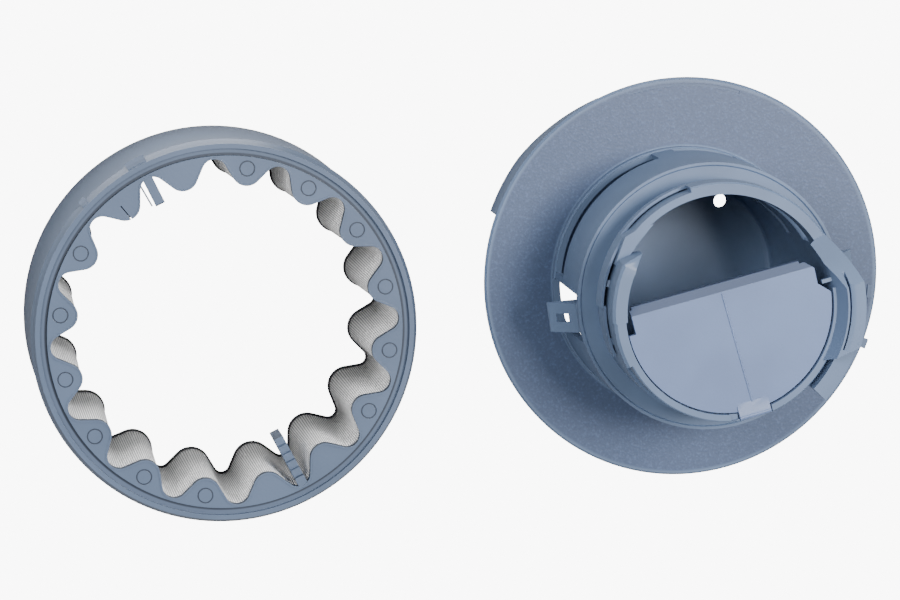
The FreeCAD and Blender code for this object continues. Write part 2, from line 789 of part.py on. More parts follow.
def lip_piece(name, radius, top, start, stop):
    """One stretch of the lip: a thin wall on a floor that joins it to the tube."""
    floor_top = "lip_floor_low + lip_floor_thick"
    return lathe(name, [
        (TUBE_IN, "lip_floor_low"),
        (f"{radius} - lip_chamfer", "lip_floor_low"),
        (radius, "lip_floor_low + lip_chamfer"),
        (radius, top),
        (f"{radius} - lip_wall", top),
        (f"{radius} - lip_wall", floor_top),
        (TUBE_IN, floor_top),
    ], start, stop)


def lip_channel():
    """Thin lip round the upper left of the tube, with a channel behind it, a block and two bridges."""
    lips = [
        lip_piece("lip_front", "lip_radius", "lip_front_top", f"arc_wide_end - {OVERRUN}", "block_end"),
        lip_piece("lip_back", "lip_radius", "lip_back_top", "block_outer", "lip_tail_start"),
        lip_piece("lip_tail", "lip_tail_radius", "lip_back_top", f"lip_tail_start - {OVERRUN}", "lip_end"),
    ]
    block = slab("lip_block", [
        polar(f"bore_radius - {OVERLAP}", "block_tip"),
        polar("arc_narrow - lip_wall", "block_start"),
        polar("lip_radius", "block_outer"),
        polar("arc_narrow", "block_end"),
        polar("bore_radius", "block_end"),
        polar(f"bore_radius - {OVERRUN}", "block_inner"),
    ], "lip_floor_low", "arc_top")
    bridges = [
        plank(f"lip_bridge_{index}", [
            (TUBE_IN, "lip_floor_low"),
            (f"lip_tail_radius - {OVERLAP}", "lip_floor_low"),
            (f"lip_tail_radius - {OVERLAP}", "lip_back_top - lip_wall"),
            (TUBE_IN, "lip_back_top"),
        ], "bridge_wide", "side", turn=angle)
        for index, angle in enumerate(("first_bridge", "second_bridge"))]
    return lips + [block] + bridges


def rim_piece(name, inner, wall, drop, edge, start, stop):
    """One stretch of the raised rim: it leans out of the tube and stands up past the flap."""
    return lathe(name, [
        ("bore_radius", RIM_FOOT),
        (f"tube_radius - {OVERLAP} / 4", RIM_FOOT),
        (f"{inner} + {wall}", f"rim_top - {drop}"),
        (f"{inner} + {wall}", f"rim_top - {edge}"),
        (f"{inner} + {wall} - {edge}", "rim_top"),
        (inner, "rim_top"),
        (inner, f"arc_top + {OVERRUN}"),
    ], start, stop)


def mouth_rim():
    """Raised rim that holds the flap: a broad band at the left and a plain wall along the bottom."""
    left = rim_piece("left_band", "band_seat", "band_wall + (seat_radius - band_seat)", "band_drop", "band_edge",
                     "band_start", "left_corner_angle - ledge_margin")
    left = cut("left_band_slanted", left, fuse("band_cuts", [band_slope(), band_end_cut()]))
    tail = rim_piece("left_band_tail", "seat_radius", "band_tail_wall", "band_drop", "band_edge",
                     f"left_corner_angle - ledge_margin - {OVERRUN}", "band_end")
    lower = rim_piece("lower_rim", "seat_radius", "rim_wall", f"(rim_top - arc_top - {OVERRUN})", "rim_edge",
                      "lip_end", "ear_slope_start")
    lower = cut("lower_rim_notched", lower, hinge_notch())
    ledge_top = "flap_top - flap_thick - flap_clearance"
    ledge = lathe("flap_seat", [
        (f"seat_radius + {OVERLAP}", f"{ledge_top} - ledge_below - ledge_thick"),
        (f"seat_radius + {OVERLAP}", ledge_top),
        ("seat_radius - seat_ledge", ledge_top),
        ("seat_radius - seat_ledge", f"{ledge_top} - ledge_thick"),
    ], "left_corner_angle + ledge_margin", "corner_angle + 360 - ledge_margin")
    return [left, tail, lower, ledge]


EAR_RADIUS = "(ear_ridge + ear_band_wide)"
EAR_STEP_RADIUS = f"({EAR_RADIUS} + ear_step_proud)"


def ear():
    """Flared ear at the right: a cone above the flap's seat, a narrow groove and a broad outer band."""
    whole = lathe("ear_whole", [
        ("bore_radius", RIM_FOOT),
        (TUBE_IN, "arc_low - arc_under"),
        ("arc_radius", "arc_low"),
        ("arc_radius", "arc_top"),
        (EAR_RADIUS, "ear_top"),
        ("ear_ridge", "ear_top"),
        ("seat_radius", "ear_cone_low"),
        ("seat_radius", f"arc_top + {OVERRUN}"),
        ("bore_radius", "arc_top"),
    ], "ear_start", "ear_slope_end")
    groove_inner = "ear_ridge + ear_ridge_wall"
    groove_outer = f"{groove_inner} + ear_groove_wide"
    groove = lathe("ear_groove", [
        (groove_inner, "ear_top - ear_groove_deep"),
        (groove_outer, "ear_top - ear_groove_deep"),
        (groove_outer, "ear_top - ear_facet_deep"),
        (f"{groove_outer} + ear_facet_wide", "ear_top"),
        (f"{groove_outer} + ear_facet_wide", f"ear_top + {OVERRUN}"),
        (groove_inner, f"ear_top + {OVERRUN}"),
    ], "ear_groove_start", "ear_slope_end")
    flared = cut("ear_flared", whole, fuse("ear_cuts", [groove, ear_slope(), ear_end_cut()]))
    step = lathe("ear_step", [
        (TUBE_IN, "arc_low - arc_under"),
        ("arc_radius", "arc_low"),
        ("arc_radius", "arc_top"),
        (EAR_STEP_RADIUS, "ear_step_top"),
        (groove_outer, "ear_step_top"),
        (TUBE_IN, "arc_top"),
    ], "ear_start", "ear_outer_start")
    return fuse("ear", [flared, step])


def ear_end_cut():
    """Prism that ends the ear along a slanted line in plan."""
    far = f"2 * {EAR_RADIUS}"
    before = "ear_start - ledge_margin"
    return slab("ear_end_prism", [
        polar("seat_radius", "ear_inner_start"),
        polar(EAR_STEP_RADIUS, "ear_outer_start"),
        polar(far, "ear_outer_start"),
        polar(far, before),
        polar("seat_radius", before),
    ], f"{RIM_FOOT} - rim_foot_deep", f"ear_top + {OVERRUN}")


def ear_slope():
    """Prism that takes the top off the ear where it falls to the upper arc."""
    middle = "(ear_slope_start + ear_slope_end) / 2"
    half = "(tube_radius * sin((ear_slope_end - ear_slope_start) / 2))"
    above = "ear_top + ear_groove_deep"
    fall = plank("ear_fall", [
        (f"-{half}", "ear_top"),
        (half, "arc_top"),
        (f"2 * {half}", "arc_top"),
        (f"2 * {half}", above),
        (f"-{half}", above),
    ], f"4 * {EAR_RADIUS}", "face", turn=middle)
    sector = band("ear_fall_sector", "tube_radius / 2", f"2 * {EAR_RADIUS}", f"arc_top - {OVERRUN}",
                  f"{above} + {OVERRUN}", "ear_slope_start - ledge_margin", "ear_slope_end + ledge_margin")
    return common("ear_fall_cut", fall, sector)


def band_end_cut():
    """Prism that ends the left band along a slanted line in plan, with its tip at the bore."""
    far = "2 * tube_radius"
    return slab("band_end_prism", [
        polar("band_seat", "band_start"),
        polar(f"band_seat + band_wall + {OVERRUN}", "band_start + band_slant"),
        polar(far, "band_start + band_slant"),
        polar(far, f"band_start - {OVERRUN}"),
        polar("band_seat", f"band_start - {OVERRUN}"),
    ], f"{RIM_FOOT} - {OVERRUN}", f"rim_top + {OVERRUN}")


def band_slope():
    """Prism that slants the top of the left band's end down to its tip."""
    half = "(tube_radius * sin(band_slant / 2))"
    above = "rim_top + band_fall"
    slant = plank("band_fall_prism", [
        (f"-{half}", "rim_top"),
        (half, "rim_top - band_fall"),
        (f"2 * {half}", "rim_top - band_fall"),
        (f"2 * {half}", above),
        (f"-{half}", above),
    ], "4 * tube_radius", "face", turn="band_start + band_slant / 2 + 180")
    sector = band("band_fall_sector", "tube_radius / 2", "2 * tube_radius", "arc_top", f"{above} + {OVERRUN}",
                  "band_start - band_slant", "band_start + 2 * band_slant")
    return common("band_fall_cut", slant, sector)


def stop_nub():
    """Small stop beside the flap's right corner."""
    high = "flap_top"
    low = f"{high} - stop_thick"
    outer = f"seat_radius + {OVERLAP}"
    points = [("stop_reach", low), (outer, low), (outer, high), ("stop_reach", high)]
    return plank("flap_stop", points, "stop_wide", "side", turn="stop_angle")


def hinge_notch():
    """Notch in the rim that the flap's knuckle lies in, and the small relief beside it."""
    reach = "(hinge_wide / 2 + hinge_clearance)"
    low = "hinge_height - knuckle_radius - hinge_clearance"
    above = f"rim_top + {OVERRUN}"
    notch = plank("hinge_notch", [
        (f"-{reach}", low),
        (reach, low),
        (reach, above),
        (f"-{reach}", above),
    ], "2 * (tube_radius + hub_wall)", "face", turn="hinge_angle")
    relief = plank("hinge_relief", [
        (f"-{reach} - relief_wide", "rim_top - relief_deep"),
        ("0", "rim_top - relief_deep"),
        ("0", above),
        (f"-{reach} - relief_wide", above),
    ], "2 * (seat_radius + rim_wall / 2)", "face", turn="hinge_angle")
    near = band("notch_sector", "seat_radius / 2", "2 * tube_radius", "arc_top", f"{above} + {OVERRUN}",
                "hinge_angle - 3 * ledge_margin", "hinge_angle + 3 * ledge_margin")
    return common("hinge_cut", fuse("hinge_cuts", [notch, relief]), near)


def make_collar():
    """Flanged collar: the turned core less its hollows, with everything that stands on it."""
    turns = ("", " + 180")
    gaps = [gap for index, turn in enumerate(turns) for gap in lug_gaps(index, turn)]
    drain = rod("drain_hole", "drain_wide / 2", f"-{OVERRUN}", f"cup_floor + {OVERRUN}",
                *polar("drain_ring", "drain_angle"))
    hollows = fuse("collar_hollows", [hub_hollow(), drain, flange_line()] + gaps + wall_slots())
    parts = [cut("collar_shell", collar_core(), hollows), ear(), stop_nub()]
    parts += mouth_arc() + lip_channel() + mouth_rim() + flange_marks()
    parts += [skirt(index, turn) for index, turn in enumerate(turns)]
    parts += [lug(index, turn) for index, turn in enumerate(turns)]
    return finish(fuse("collar", parts), "collar", COLLAR_X, "collar_turn")


FLAP_RADIUS = "(seat_radius - flap_clearance)"


def flap_plate():
    """Half-moon plate: part of a disc, below a chord with a notch at each end."""
    disc = band("flap_disc", "0", FLAP_RADIUS, "flap_top - flap_thick", "flap_top")
    far = "3 * seat_radius"
    keep = slab("flap_keep", [
        polar(FLAP_RADIUS, "left_corner_angle"),
        polar("left_slot_radius", "left_corner_angle"),
        polar("chord_left_radius", "chord_left_angle"),
        polar("chord_right_radius", "chord_right_angle"),
        polar("notch_radius", "notch_angle"),
        polar("notch_foot_radius", "notch_foot_angle"),
        polar(FLAP_RADIUS, "corner_angle"),
        polar(far, "corner_angle"),
        polar(far, "270"),
        polar(far, "left_corner_angle"),
    ], "flap_top - bar_deep", f"flap_top + {OVERRUN}")
    return common("flap_half_moon", disc, keep)


def chord():
    """The chord's left end, its direction about Z and its length, worked out from the sheet."""
    left = FreeCAD.Vector(*[number(text) for text in polar("chord_left_radius", "chord_left_angle")])
    right = FreeCAD.Vector(*[number(text) for text in polar("chord_right_radius", "chord_right_angle")])
    run = right - left
    return left, math.degrees(math.atan2(run.y, run.x)), run.Length


def along_chord(name, corners, start, stop):
    """A section of (across, height) corners drawn out along the chord."""
    left, direction, _ = chord()
    points = [FreeCAD.Vector(start, across, height) for across, height in corners + corners[:1]]
    drawn = Part.Face(Part.makePolygon(points)).extrude(FreeCAD.Vector(stop - start, 0, 0))
    drawn.rotate(FreeCAD.Vector(), UP, direction)
    drawn.translate(left)
    return fixed_shape(name, drawn)


def chord_bar():
    """Thick bar under the chord, and the wedge that bevels the edge above it."""
    length = chord()[2]
    wide, deep, bevel, margin = [number(name) for name in ("bar_wide", "bar_deep", "bar_bevel", "bar_margin")]
    top, past = number("flap_top"), number(OVERRUN)
    bar = along_chord("flap_bar", [
        (0, top - bevel), (-bevel, top), (-wide, top), (-wide, top - deep), (0, top - deep),
    ], margin, length - margin)
    wedge = along_chord("flap_bevel", [
        (past, top - bevel - past), (past, top + past), (-bevel - past, top + past),
    ], -wide, length + wide)
    return bar, wedge


def flap_rib():
    """Low line across the flap, from the middle of the chord to the hinge."""
    left, direction, length = chord()
    wide, tall = number("rib_wide"), number("rib_tall")
    inwards = FreeCAD.Vector(length * number("rib_along_chord"), -number("bar_bevel") - wide, 0)
    start = left + FreeCAD.Rotation(UP, direction).multVec(inwards)
    end = FreeCAD.Vector(*[number(text) for text in polar("seat_radius - strap_long", "hinge_angle")])
    along = end - start
    rib = Part.makeBox(along.Length, wide, 2 * tall)
    rib.translate(FreeCAD.Vector(0, -wide / 2, number("flap_top") - tall))
    rib.rotate(FreeCAD.Vector(), UP, math.degrees(math.atan2(along.y, along.x)))
    rib.translate(start)
    return fixed_shape("flap_rib", rib)


def hinge_knuckle():
    """Round knuckle along the hinge's axis, square to the direction of the hinge."""
    knuckle = add("Part::Cylinder", "flap_knuckle", Radius="knuckle_radius", Height="hinge_wide")
    angle = math.radians(number("hinge_angle"))
    outward = FreeCAD.Vector(math.cos(angle), math.sin(angle), 0)
    along = FreeCAD.Vector(-outward.y, outward.x, 0)
    corner = outward * number("hinge_radius") - along * (number("hinge_wide") / 2) + UP * number("hinge_height")
    knuckle.Placement = FreeCAD.Placement(corner, FreeCAD.Rotation(UP, along))
    return knuckle


def make_flap():
    """Flap with its knuckle and strap; it turns about the knuckle."""
    bar, wedge = chord_bar()
    body = cut("flap_bevelled", fuse("flap_body", [flap_plate(), bar]), wedge)
    strap_start = f"{FLAP_RADIUS} - strap_long"
    strap = plank("flap_strap", [
        (strap_start, "flap_top - flap_thick / 2"),
        ("hinge_radius", "hinge_height - strap_thick / 2"),
        ("hinge_radius", "hinge_height + strap_thick / 2"),
        (strap_start, "flap_top"),
    ], "hinge_wide", "side", turn="hinge_angle")
    flap = fuse("flap", [body, hinge_knuckle(), strap, flap_rib()])
    return finish(flap, "flap", COLLAR_X, "collar_turn")


def finish(item, label, x, turn):
    """Name a sub-part and bind its place in the row."""
    item.Label = label
    place(item, x=x, turn=turn)
    return item


def check_all(nodes):
    """Stop if any object failed or any sub-part isn't one valid closed solid."""
    for item in document.Objects:
        failed = [state for state in item.State if state in ("Invalid", "Error")]
        if failed:
            raise RuntimeError(f"{item.Label} failed: {failed}")
    for node in nodes:
        shape = node.Shape
        if shape.isNull() or not shape.isValid():
            raise RuntimeError(f"{node.Label} has no valid shape")
        box = shape.BoundBox
        print(f"{node.Label}: {len(shape.Solids)} solid(s), volume {shape.Volume:.1f}, "
              f"X {box.XMin:.2f} to {box.XMax:.2f}, Y {box.YMin:.2f} to {box.YMax:.2f}, "
              f"Z {box.ZMin:.2f} to {box.ZMax:.2f}")


def main():
    fill_sheet()
    nodes = [make_ring_frame(), make_mesh_sleeve(), make_collar(), make_flap()]
    document.recompute()
    check_all(nodes)
    os.makedirs("parts", exist_ok=True)
    for node in nodes:
        node.Shape.exportStep(f"parts/{node.Label}.step")


main()
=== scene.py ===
import math

import bpy
from mathutils import Matrix, Vector


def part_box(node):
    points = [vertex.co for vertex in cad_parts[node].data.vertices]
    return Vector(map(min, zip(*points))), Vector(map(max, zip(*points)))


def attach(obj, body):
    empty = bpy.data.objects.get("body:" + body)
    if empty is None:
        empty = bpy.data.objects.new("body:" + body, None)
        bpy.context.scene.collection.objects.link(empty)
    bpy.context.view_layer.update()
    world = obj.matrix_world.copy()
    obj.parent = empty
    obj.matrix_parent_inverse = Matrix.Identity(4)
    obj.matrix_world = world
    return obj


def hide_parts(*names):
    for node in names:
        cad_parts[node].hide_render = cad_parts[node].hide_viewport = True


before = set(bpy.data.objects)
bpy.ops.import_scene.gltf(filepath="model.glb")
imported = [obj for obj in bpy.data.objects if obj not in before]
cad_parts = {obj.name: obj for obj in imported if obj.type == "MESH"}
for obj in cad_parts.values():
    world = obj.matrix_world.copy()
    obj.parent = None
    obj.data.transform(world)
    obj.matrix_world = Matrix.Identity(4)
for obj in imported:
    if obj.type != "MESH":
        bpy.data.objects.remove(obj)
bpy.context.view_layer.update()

bl_info = {
    "name": "Dishwasher filter looks",
    "version": (1, 0, 0),
    "blender": (4, 5, 0),
    "location": "3D View > Sidebar > Filter",
    "description": "Dresses the two-piece dishwasher filter with its moulded plastic and woven mesh",
    "category": "Object",
}

MM = 0.001
HOUSING = "housing"
FLAP = "flap"


def centre_of(node):
    """Middle of a node's footprint, from its box."""
    low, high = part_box(node)
    return Vector(((low.x + high.x) / 2, (low.y + high.y) / 2, 0))


RING_CENTRE = centre_of("mesh_sleeve")
RING_TOP = 51.6 * MM
RING_TURN = math.radians(11.7)
MESH_LOW, MESH_HIGH = [corner.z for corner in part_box("mesh_sleeve")]
COLLAR_CENTRE = Vector((87.05 * MM, 0, 0))
SATIN = 0.5
CLOUDY = (0.35, 0.65)
WEAVE_MAP = "weave"


class Wave:
    """The wavy line of the ring's plate: lobes that point inwards, with round tips and valleys."""
    lobes = 16
    tip_radius = 54.4 * MM
    valley_radius = 64.0 * MM
    tip_round = 5.6 * MM
    valley_round = 4.6 * MM
    head = 0.55 * MM
    lean = 1.7 * MM
    corners_per_wire = 4
    edge_corners = 32
    edge_foot = 0.1 * MM
    edge_slope = 0.3 * MM
    edge_smooth = math.radians(40)


class Softening:
    """How a node's mesh is merged, rounded and shaded."""
    merge = 0.002 * MM
    flat = math.radians(0.4)
    sharp = math.radians(38)
    smooth = math.radians(30)


class GrooveShade:
    """Where the ring's sunk places get painted shade, each edge as the two ends of its fade."""
    foot = (RING_TOP - 2.0 * MM, RING_TOP - 1.8 * MM)
    brink = (RING_TOP - 0.45 * MM, RING_TOP - 0.3 * MM)
    line_end = (65.9 * MM, 66.4 * MM)
    lost_beyond_line = 0.85


class ChordBevelShade:
    """The bevel along the flap's straight edge, and how dark its painted shade is."""
    turn = math.radians(10.87)
    bevel_start = (6.92 * MM, 7.22 * MM)
    darkness = 0.8


class FlangeTop:
    """The grained top of the flange, each edge as the two ends of its fade, and its shares of the colour."""
    inner_edge = (50.8 * MM, 51.6 * MM)
    outer_edge = (74.4 * MM, 75.6 * MM)
    low_edge = (11.8 * MM, 12.4 * MM)
    high_edge = (12.8 * MM, 13.6 * MM)
    colour_shares = (0.5, 0.52, 0.6)


class Studio:
    """Papers and lights round the object, in metres and watts.

    The floor glows in a strip beyond the ring, counted from the ring's centre, so that the ring's rim
    mirrors it. Each lamp is a name, a place, a size and a power."""
    paper_wide = 12.0
    backdrop_glow = 9.0
    floor_grey = 0.35
    strip_glow = 5.0
    strip_near = (0.095, 0.105)
    strip_far = (0.15, 0.18)
    strip_right = (0.03, 0.06)
    fill = 0.36
    aimed_at = Vector((0, 0, 0.04))
    lamps = (
        ("key_light", (0.78, 0.38, 1.9), 0.7, 47.0),
        ("far_light", (0.2, 1.9, 0.55), 0.8, 8.0),
        ("left_light", (-0.95, 0.6, 1.8), 0.7, 22.0),
    )


class FilterSizes(bpy.types.PropertyGroup):
    """Sizes that a user would change."""
    edge_round: bpy.props.FloatProperty(
        name="Edge rounding", description="Width of the small rounding on moulded edges",
        default=0.25 * MM, unit="LENGTH")
    wire_pitch: bpy.props.FloatProperty(
        name="Wire pitch", description="Distance from one upright wire of the mesh to the next",
        default=0.8 * MM, unit="LENGTH")
    wire_proud: bpy.props.FloatProperty(
        name="Wire height", description="How far each upright wire stands out of the mesh",
        default=0.14 * MM, unit="LENGTH")
    weave_thick: bpy.props.FloatProperty(
        name="Mesh thickness", description="Thickness of the woven mesh between its wires",
        default=0.22 * MM, unit="LENGTH")
    # edge_wide: width of the near-black band of painted shadow along the mesh's back edge
    edge_wide: bpy.props.FloatProperty(
        name="Back edge", description="Width of the dark edge that closes the mesh at the back",
        default=0.7 * MM, unit="LENGTH")


class FilterColours(bpy.types.PropertyGroup):
    """Colours of the finishes."""
    ring_plastic: bpy.props.FloatVectorProperty(
        name="Ring plastic", description="Blue-grey of the strainer ring", subtype="COLOR",
        default=(0.092, 0.130, 0.205), size=3)
    collar_plastic: bpy.props.FloatVectorProperty(
        name="Collar plastic", description="Blue-grey of the collar", subtype="COLOR",
        default=(0.122, 0.178, 0.290), size=3)
    flap_plastic: bpy.props.FloatVectorProperty(
        name="Flap plastic", description="Paler blue-grey of the flap", subtype="COLOR",
        default=(0.140, 0.200, 0.360), size=3)
    mesh_steel: bpy.props.FloatVectorProperty(
        name="Mesh steel", description="Grey of the woven wire", subtype="COLOR",
        default=(0.86, 0.87, 0.89), size=3)
    # back_edge: near black of the band of painted shadow along the mesh's back edge
    back_edge: bpy.props.FloatVectorProperty(
        name="Back edge", description="Near black of the edge that closes the mesh", subtype="COLOR",
        default=(0.008, 0.009, 0.010), size=3)


class View:
    """How the camera stands to the floor: a long lens, tilted a little from straight above."""
    focal_mm = 160.13
    sensor_mm = 36.0
    distance = 1.51203
    tilt = math.radians(13.4934)
    direction = math.radians(42.835)
    row_turn = math.radians(4.66)
    collar_at = Vector((0.089742, 0.008661, 0.0))
    plane_height = 12.5 * MM


class Wired:
    """A shader socket that takes part in Python arithmetic."""

    def __init__(self, shader, socket):
        self.shader = shader
        self.socket = socket

    def _math(self, operation, first, second):
        return self.shader.node("ShaderNodeMath", {"operation": operation}, {0: first, 1: second})

    def __add__(self, other):
        return self._math("ADD", self, other)

    def __sub__(self, other):
        return self._math("SUBTRACT", self, other)

    def __mul__(self, other):
        return self._math("MULTIPLY", self, other)

    def __pow__(self, other):
        return self._math("POWER", self, other)

    def __rsub__(self, other):
        return self._math("SUBTRACT", other, self)

    __radd__ = __add__
    __rmul__ = __mul__

    def cycle(self, operation):
        """A sine or cosine that runs once round for each whole number."""
        return self.shader.node("ShaderNodeMath", {"operation": operation}, {0: self * (2 * math.pi)})

    def ramp(self, low, high):
        """0 below low, 1 above high, and smooth between."""
        ends = {0: self, 1: low, 2: high, 3: 0.0, 4: 1.0}
        return self.shader.node("ShaderNodeMapRange", {"interpolation_type": "SMOOTHSTEP"}, ends)


class Shader:
    """One material, built node by node."""

    def __init__(self, name):
        self.material = bpy.data.materials.new(name)
        self.material.use_nodes = True
        self.tree = self.material.node_tree
        self.surface = self.tree.nodes["Principled BSDF"]

    def node(self, kind, settings, inputs, output=0):
        """A new node with its settings and inputs, as the socket of one of its outputs."""
        made = self.tree.nodes.new(kind)
        for key, value in settings.items():
            setattr(made, key, value)
        for key, value in inputs.items():
            self.feed(made.inputs[key], value)
        return Wired(self, made.outputs[output])

    def feed(self, socket, value):
        """Link a wired value to a socket, or store a plain one in it."""
        if isinstance(value, Wired):
            self.tree.links.new(value.socket, socket)
        else:
            socket.default_value = value

    def set(self, **values):
        """Feed the surface's own sockets; an underscore stands for a space."""
        for key, value in values.items():
            self.feed(self.surface.inputs[key.replace("_", " ")], value)

    def place(self, centre=(0, 0, 0)):
        """Object coordinates, counted from a centre."""
        raw = self.node("ShaderNodeTexCoord", {}, {}, "Object")
        return self.node("ShaderNodeMapping", {}, {"Vector": raw, "Location": [-c for c in centre]})

    def split(self, vector):
        """The three parts of a vector."""
        parts = self.node("ShaderNodeSeparateXYZ", {}, {0: vector})
        return [Wired(self, parts.socket.node.outputs[axis]) for axis in range(3)]

    def noise(self, vector, scale, detail=2.0, rough=0.5):
        """Cloudy noise; scale is about the number of its spots in a metre."""
        inputs = {"Vector": vector, "Scale": scale, "Detail": detail, "Roughness": rough}
        return self.node("ShaderNodeTexNoise", {}, inputs)

    def mix(self, share, first, second):
        """The first colour where share is 0 and the second where it is 1."""
        mixed = self.tree.nodes.new("ShaderNodeMix")
        mixed.data_type = "RGBA"
        self.feed(mixed.inputs[0], share)
        for index, value in ((6, first), (7, second)):
            self.feed(mixed.inputs[index], value if isinstance(value, Wired) else (*value[:3], 1.0))
        return Wired(self, mixed.outputs[2])

    def bump(self, height, strength, distance):
        """A surface direction tilted by the slopes of a height."""
        return self.node("ShaderNodeBump", {}, {"Height": height, "Strength": strength, "Distance": distance})


def shade(colour, factor):
    """A colour made lighter or darker."""
    return tuple(min(1.0, channel * factor) for channel in colour[:3])


def from_axis(x, y):
    """Distance from the upright axis."""
    return (x * x + y * y) ** 0.5


def groove_painted_shade(made, at):
    """Painted shade: 1 in the moulding marks and beside the plate in the rim's groove, 0 on the plate and the
    rim.
    """
    x, y, z = made.split(at)
    sunk = z.ramp(*GrooveShade.foot) * (1.0 - z.ramp(*GrooveShade.brink))
    return sunk * (1.0 - from_axis(x, y).ramp(*GrooveShade.line_end) * GrooveShade.lost_beyond_line)


def chord_bevel_painted_shade(made, at):
    """Painted shade: near 1 on the bevel along the flap's straight edge, 0 on the rest of the flap."""
    x, y, _ = made.split(at)
    across = y * math.cos(ChordBevelShade.turn) - x * math.sin(ChordBevelShade.turn)
    return across.ramp(*ChordBevelShade.bevel_start) * ChordBevelShade.darkness


def moulded_plastic(name, colour, centre, grain=0.35, painted_shade_mask=None):
    """Satin moulded plastic: faint cloudiness, fine grain and uneven gloss, and painted shade (a darker
    colour) where the given shade mask is 1.
    """
    made = Shader(name)
    at = made.place(centre)
    cloud = made.noise(at, scale=28.0, detail=3.0)
    fine = made.noise(at, scale=900.0, detail=3.0, rough=0.6)
    pale_specks = (made.noise(at, scale=2600.0, detail=1.0) - 0.5) * 0.25 + 0.12
    tint = made.mix(cloud.ramp(*CLOUDY), shade(colour, 0.93), shade(colour, 1.06))
    tint = made.mix(pale_specks, tint, shade(colour, 1.35))
    if painted_shade_mask:
        # painted shade: the colour is darkened towards 0.22 of itself where the mask says shade falls
        tint = made.mix(painted_shade_mask(made, at) * 0.85, tint, shade(colour, 0.22))
    bumps = made.bump(fine, strength=grain, distance=0.1 * MM)
    made.set(Base_Color=tint, Roughness=cloud * 0.12 + 0.34, Normal=bumps, Specular_IOR_Level=SATIN)
    return made


def on_flange_top(made, at):
    """1 on the flange's top, 0 on the rest of the collar."""
    x, y, z = made.split(at)
    radius = from_axis(x, y)
    across = radius.ramp(*FlangeTop.inner_edge) * (1.0 - radius.ramp(*FlangeTop.outer_edge))
    return across * (1.0 - z.ramp(*FlangeTop.high_edge)) * z.ramp(*FlangeTop.low_edge)


def collar_plastic(colour):
    """The collar's plastic, darker and with a coarser spark-eroded grain on top of the flange."""
    made = Shader("collar_plastic")
    at = made.place(COLLAR_CENTRE)
    flange = on_flange_top(made, at)
    cloud = made.noise(at, scale=26.0, detail=3.0)
    fine = made.noise(at, scale=1000.0, detail=3.0, rough=0.6)
    coarse = made.noise(at, scale=1150.0, detail=2.0)
    tint = made.mix(cloud.ramp(*CLOUDY), shade(colour, 0.92), shade(colour, 1.08))
    top = tuple(channel * share for channel, share in zip(colour, FlangeTop.colour_shares))
    tint = made.mix(flange * 0.92, tint, top)
    pale_specks = coarse.ramp(0.5, 0.75) * flange
    dark_pits = (1.0 - coarse.ramp(0.28, 0.46)) * flange
    tint = made.mix(pale_specks * 0.35, tint, shade(top, 2.2))
    tint = made.mix(dark_pits * 0.3, tint, shade(top, 0.7))
    bumps = made.bump(coarse * flange + fine * 0.25, strength=0.35, distance=0.12 * MM)
    made.set(Base_Color=tint, Roughness=cloud * 0.12 + 0.36, Normal=bumps, Specular_IOR_Level=SATIN)
    return made


def woven_steel(colour):
    """Fine woven wire: light wires, and painted shade in the gaps for the shaded space seen through the
    weave, laid out by the weave's own map.
    """
    made = Shader("woven_steel")
    across, up, _ = made.split(made.node("ShaderNodeUVMap", {"uv_map": WEAVE_MAP}, {}))
    wires = across.cycle("COSINE") * (up.cycle("SINE") * 0.35 + 0.65)
    shine = made.noise(made.place(), scale=160.0)
    # painted shade: the gaps between the wires are darkened to 0.35 of the colour, standing in for the shaded
    # space seen through the open weave
    tint = made.mix(wires.ramp(-0.8, 0.2), shade(colour, 0.35), shade(colour, 1.6))
    bumps = made.bump(wires, strength=0.8, distance=0.1 * MM)
    made.set(Base_Color=tint, Metallic=0.2, Roughness=shine * 0.2 + 0.35, Normal=bumps)
    return made


def painted_shadow_band(colour):
    """Near black for the band along the mesh's back edge, which stands in for the shadow there: painted
    shadow.
    """
    made = Shader("back_edge")
    fine = made.noise(made.place(), scale=1500.0)
    tint = made.mix(fine, shade(colour, 0.7), shade(colour, 1.4))
    made.set(Base_Color=tint, Roughness=fine * 0.2 + 0.5, Specular_IOR_Level=0.2)
    return made


def deselect():
    """Leave edit mode, if any, and select nothing."""
    if bpy.context.object and bpy.context.object.mode != "OBJECT":
        bpy.ops.object.mode_set(mode="OBJECT")
    bpy.ops.object.select_all(action="DESELECT")


def take_on(piece, body, material):
    """Hang a finished piece on its body and material."""
    piece.data.materials.clear()
    piece.data.materials.append(material)
    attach(piece, body)


def rounded_copy(node, name, width):
    """A node's mesh, merged, with its flat faces joined and its sharp edges rounded."""
    deselect()
    piece = bpy.data.objects.new(name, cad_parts[node].data.copy())
    bpy.context.scene.collection.objects.link(piece)
    bpy.context.view_layer.objects.active = piece
    piece.select_set(True)
    bpy.ops.object.mode_set(mode="EDIT")
    bpy.ops.mesh.select_all(action="SELECT")
    bpy.ops.mesh.remove_doubles(threshold=Softening.merge)
    bpy.ops.mesh.dissolve_limited(angle_limit=Softening.flat)
    bpy.ops.object.mode_set(mode="OBJECT")
    if piece.data.has_custom_normals:
        bpy.ops.mesh.customdata_custom_splitnormals_clear()
    bevel = piece.modifiers.new("round", "BEVEL")
    bevel.width = width
    bevel.segments = 2
    bevel.limit_method = "ANGLE"
    bevel.angle_limit = Softening.sharp
    bevel.use_clamp_overlap = True
    bpy.ops.object.modifier_apply(modifier=bevel.name)
    bpy.ops.object.shade_smooth_by_angle(angle=Softening.smooth)
    weighted = piece.modifiers.new("flat faces stay flat", "WEIGHTED_NORMAL")
    weighted.keep_sharp = True
    bpy.ops.object.modifier_apply(modifier=weighted.name)
    return piece


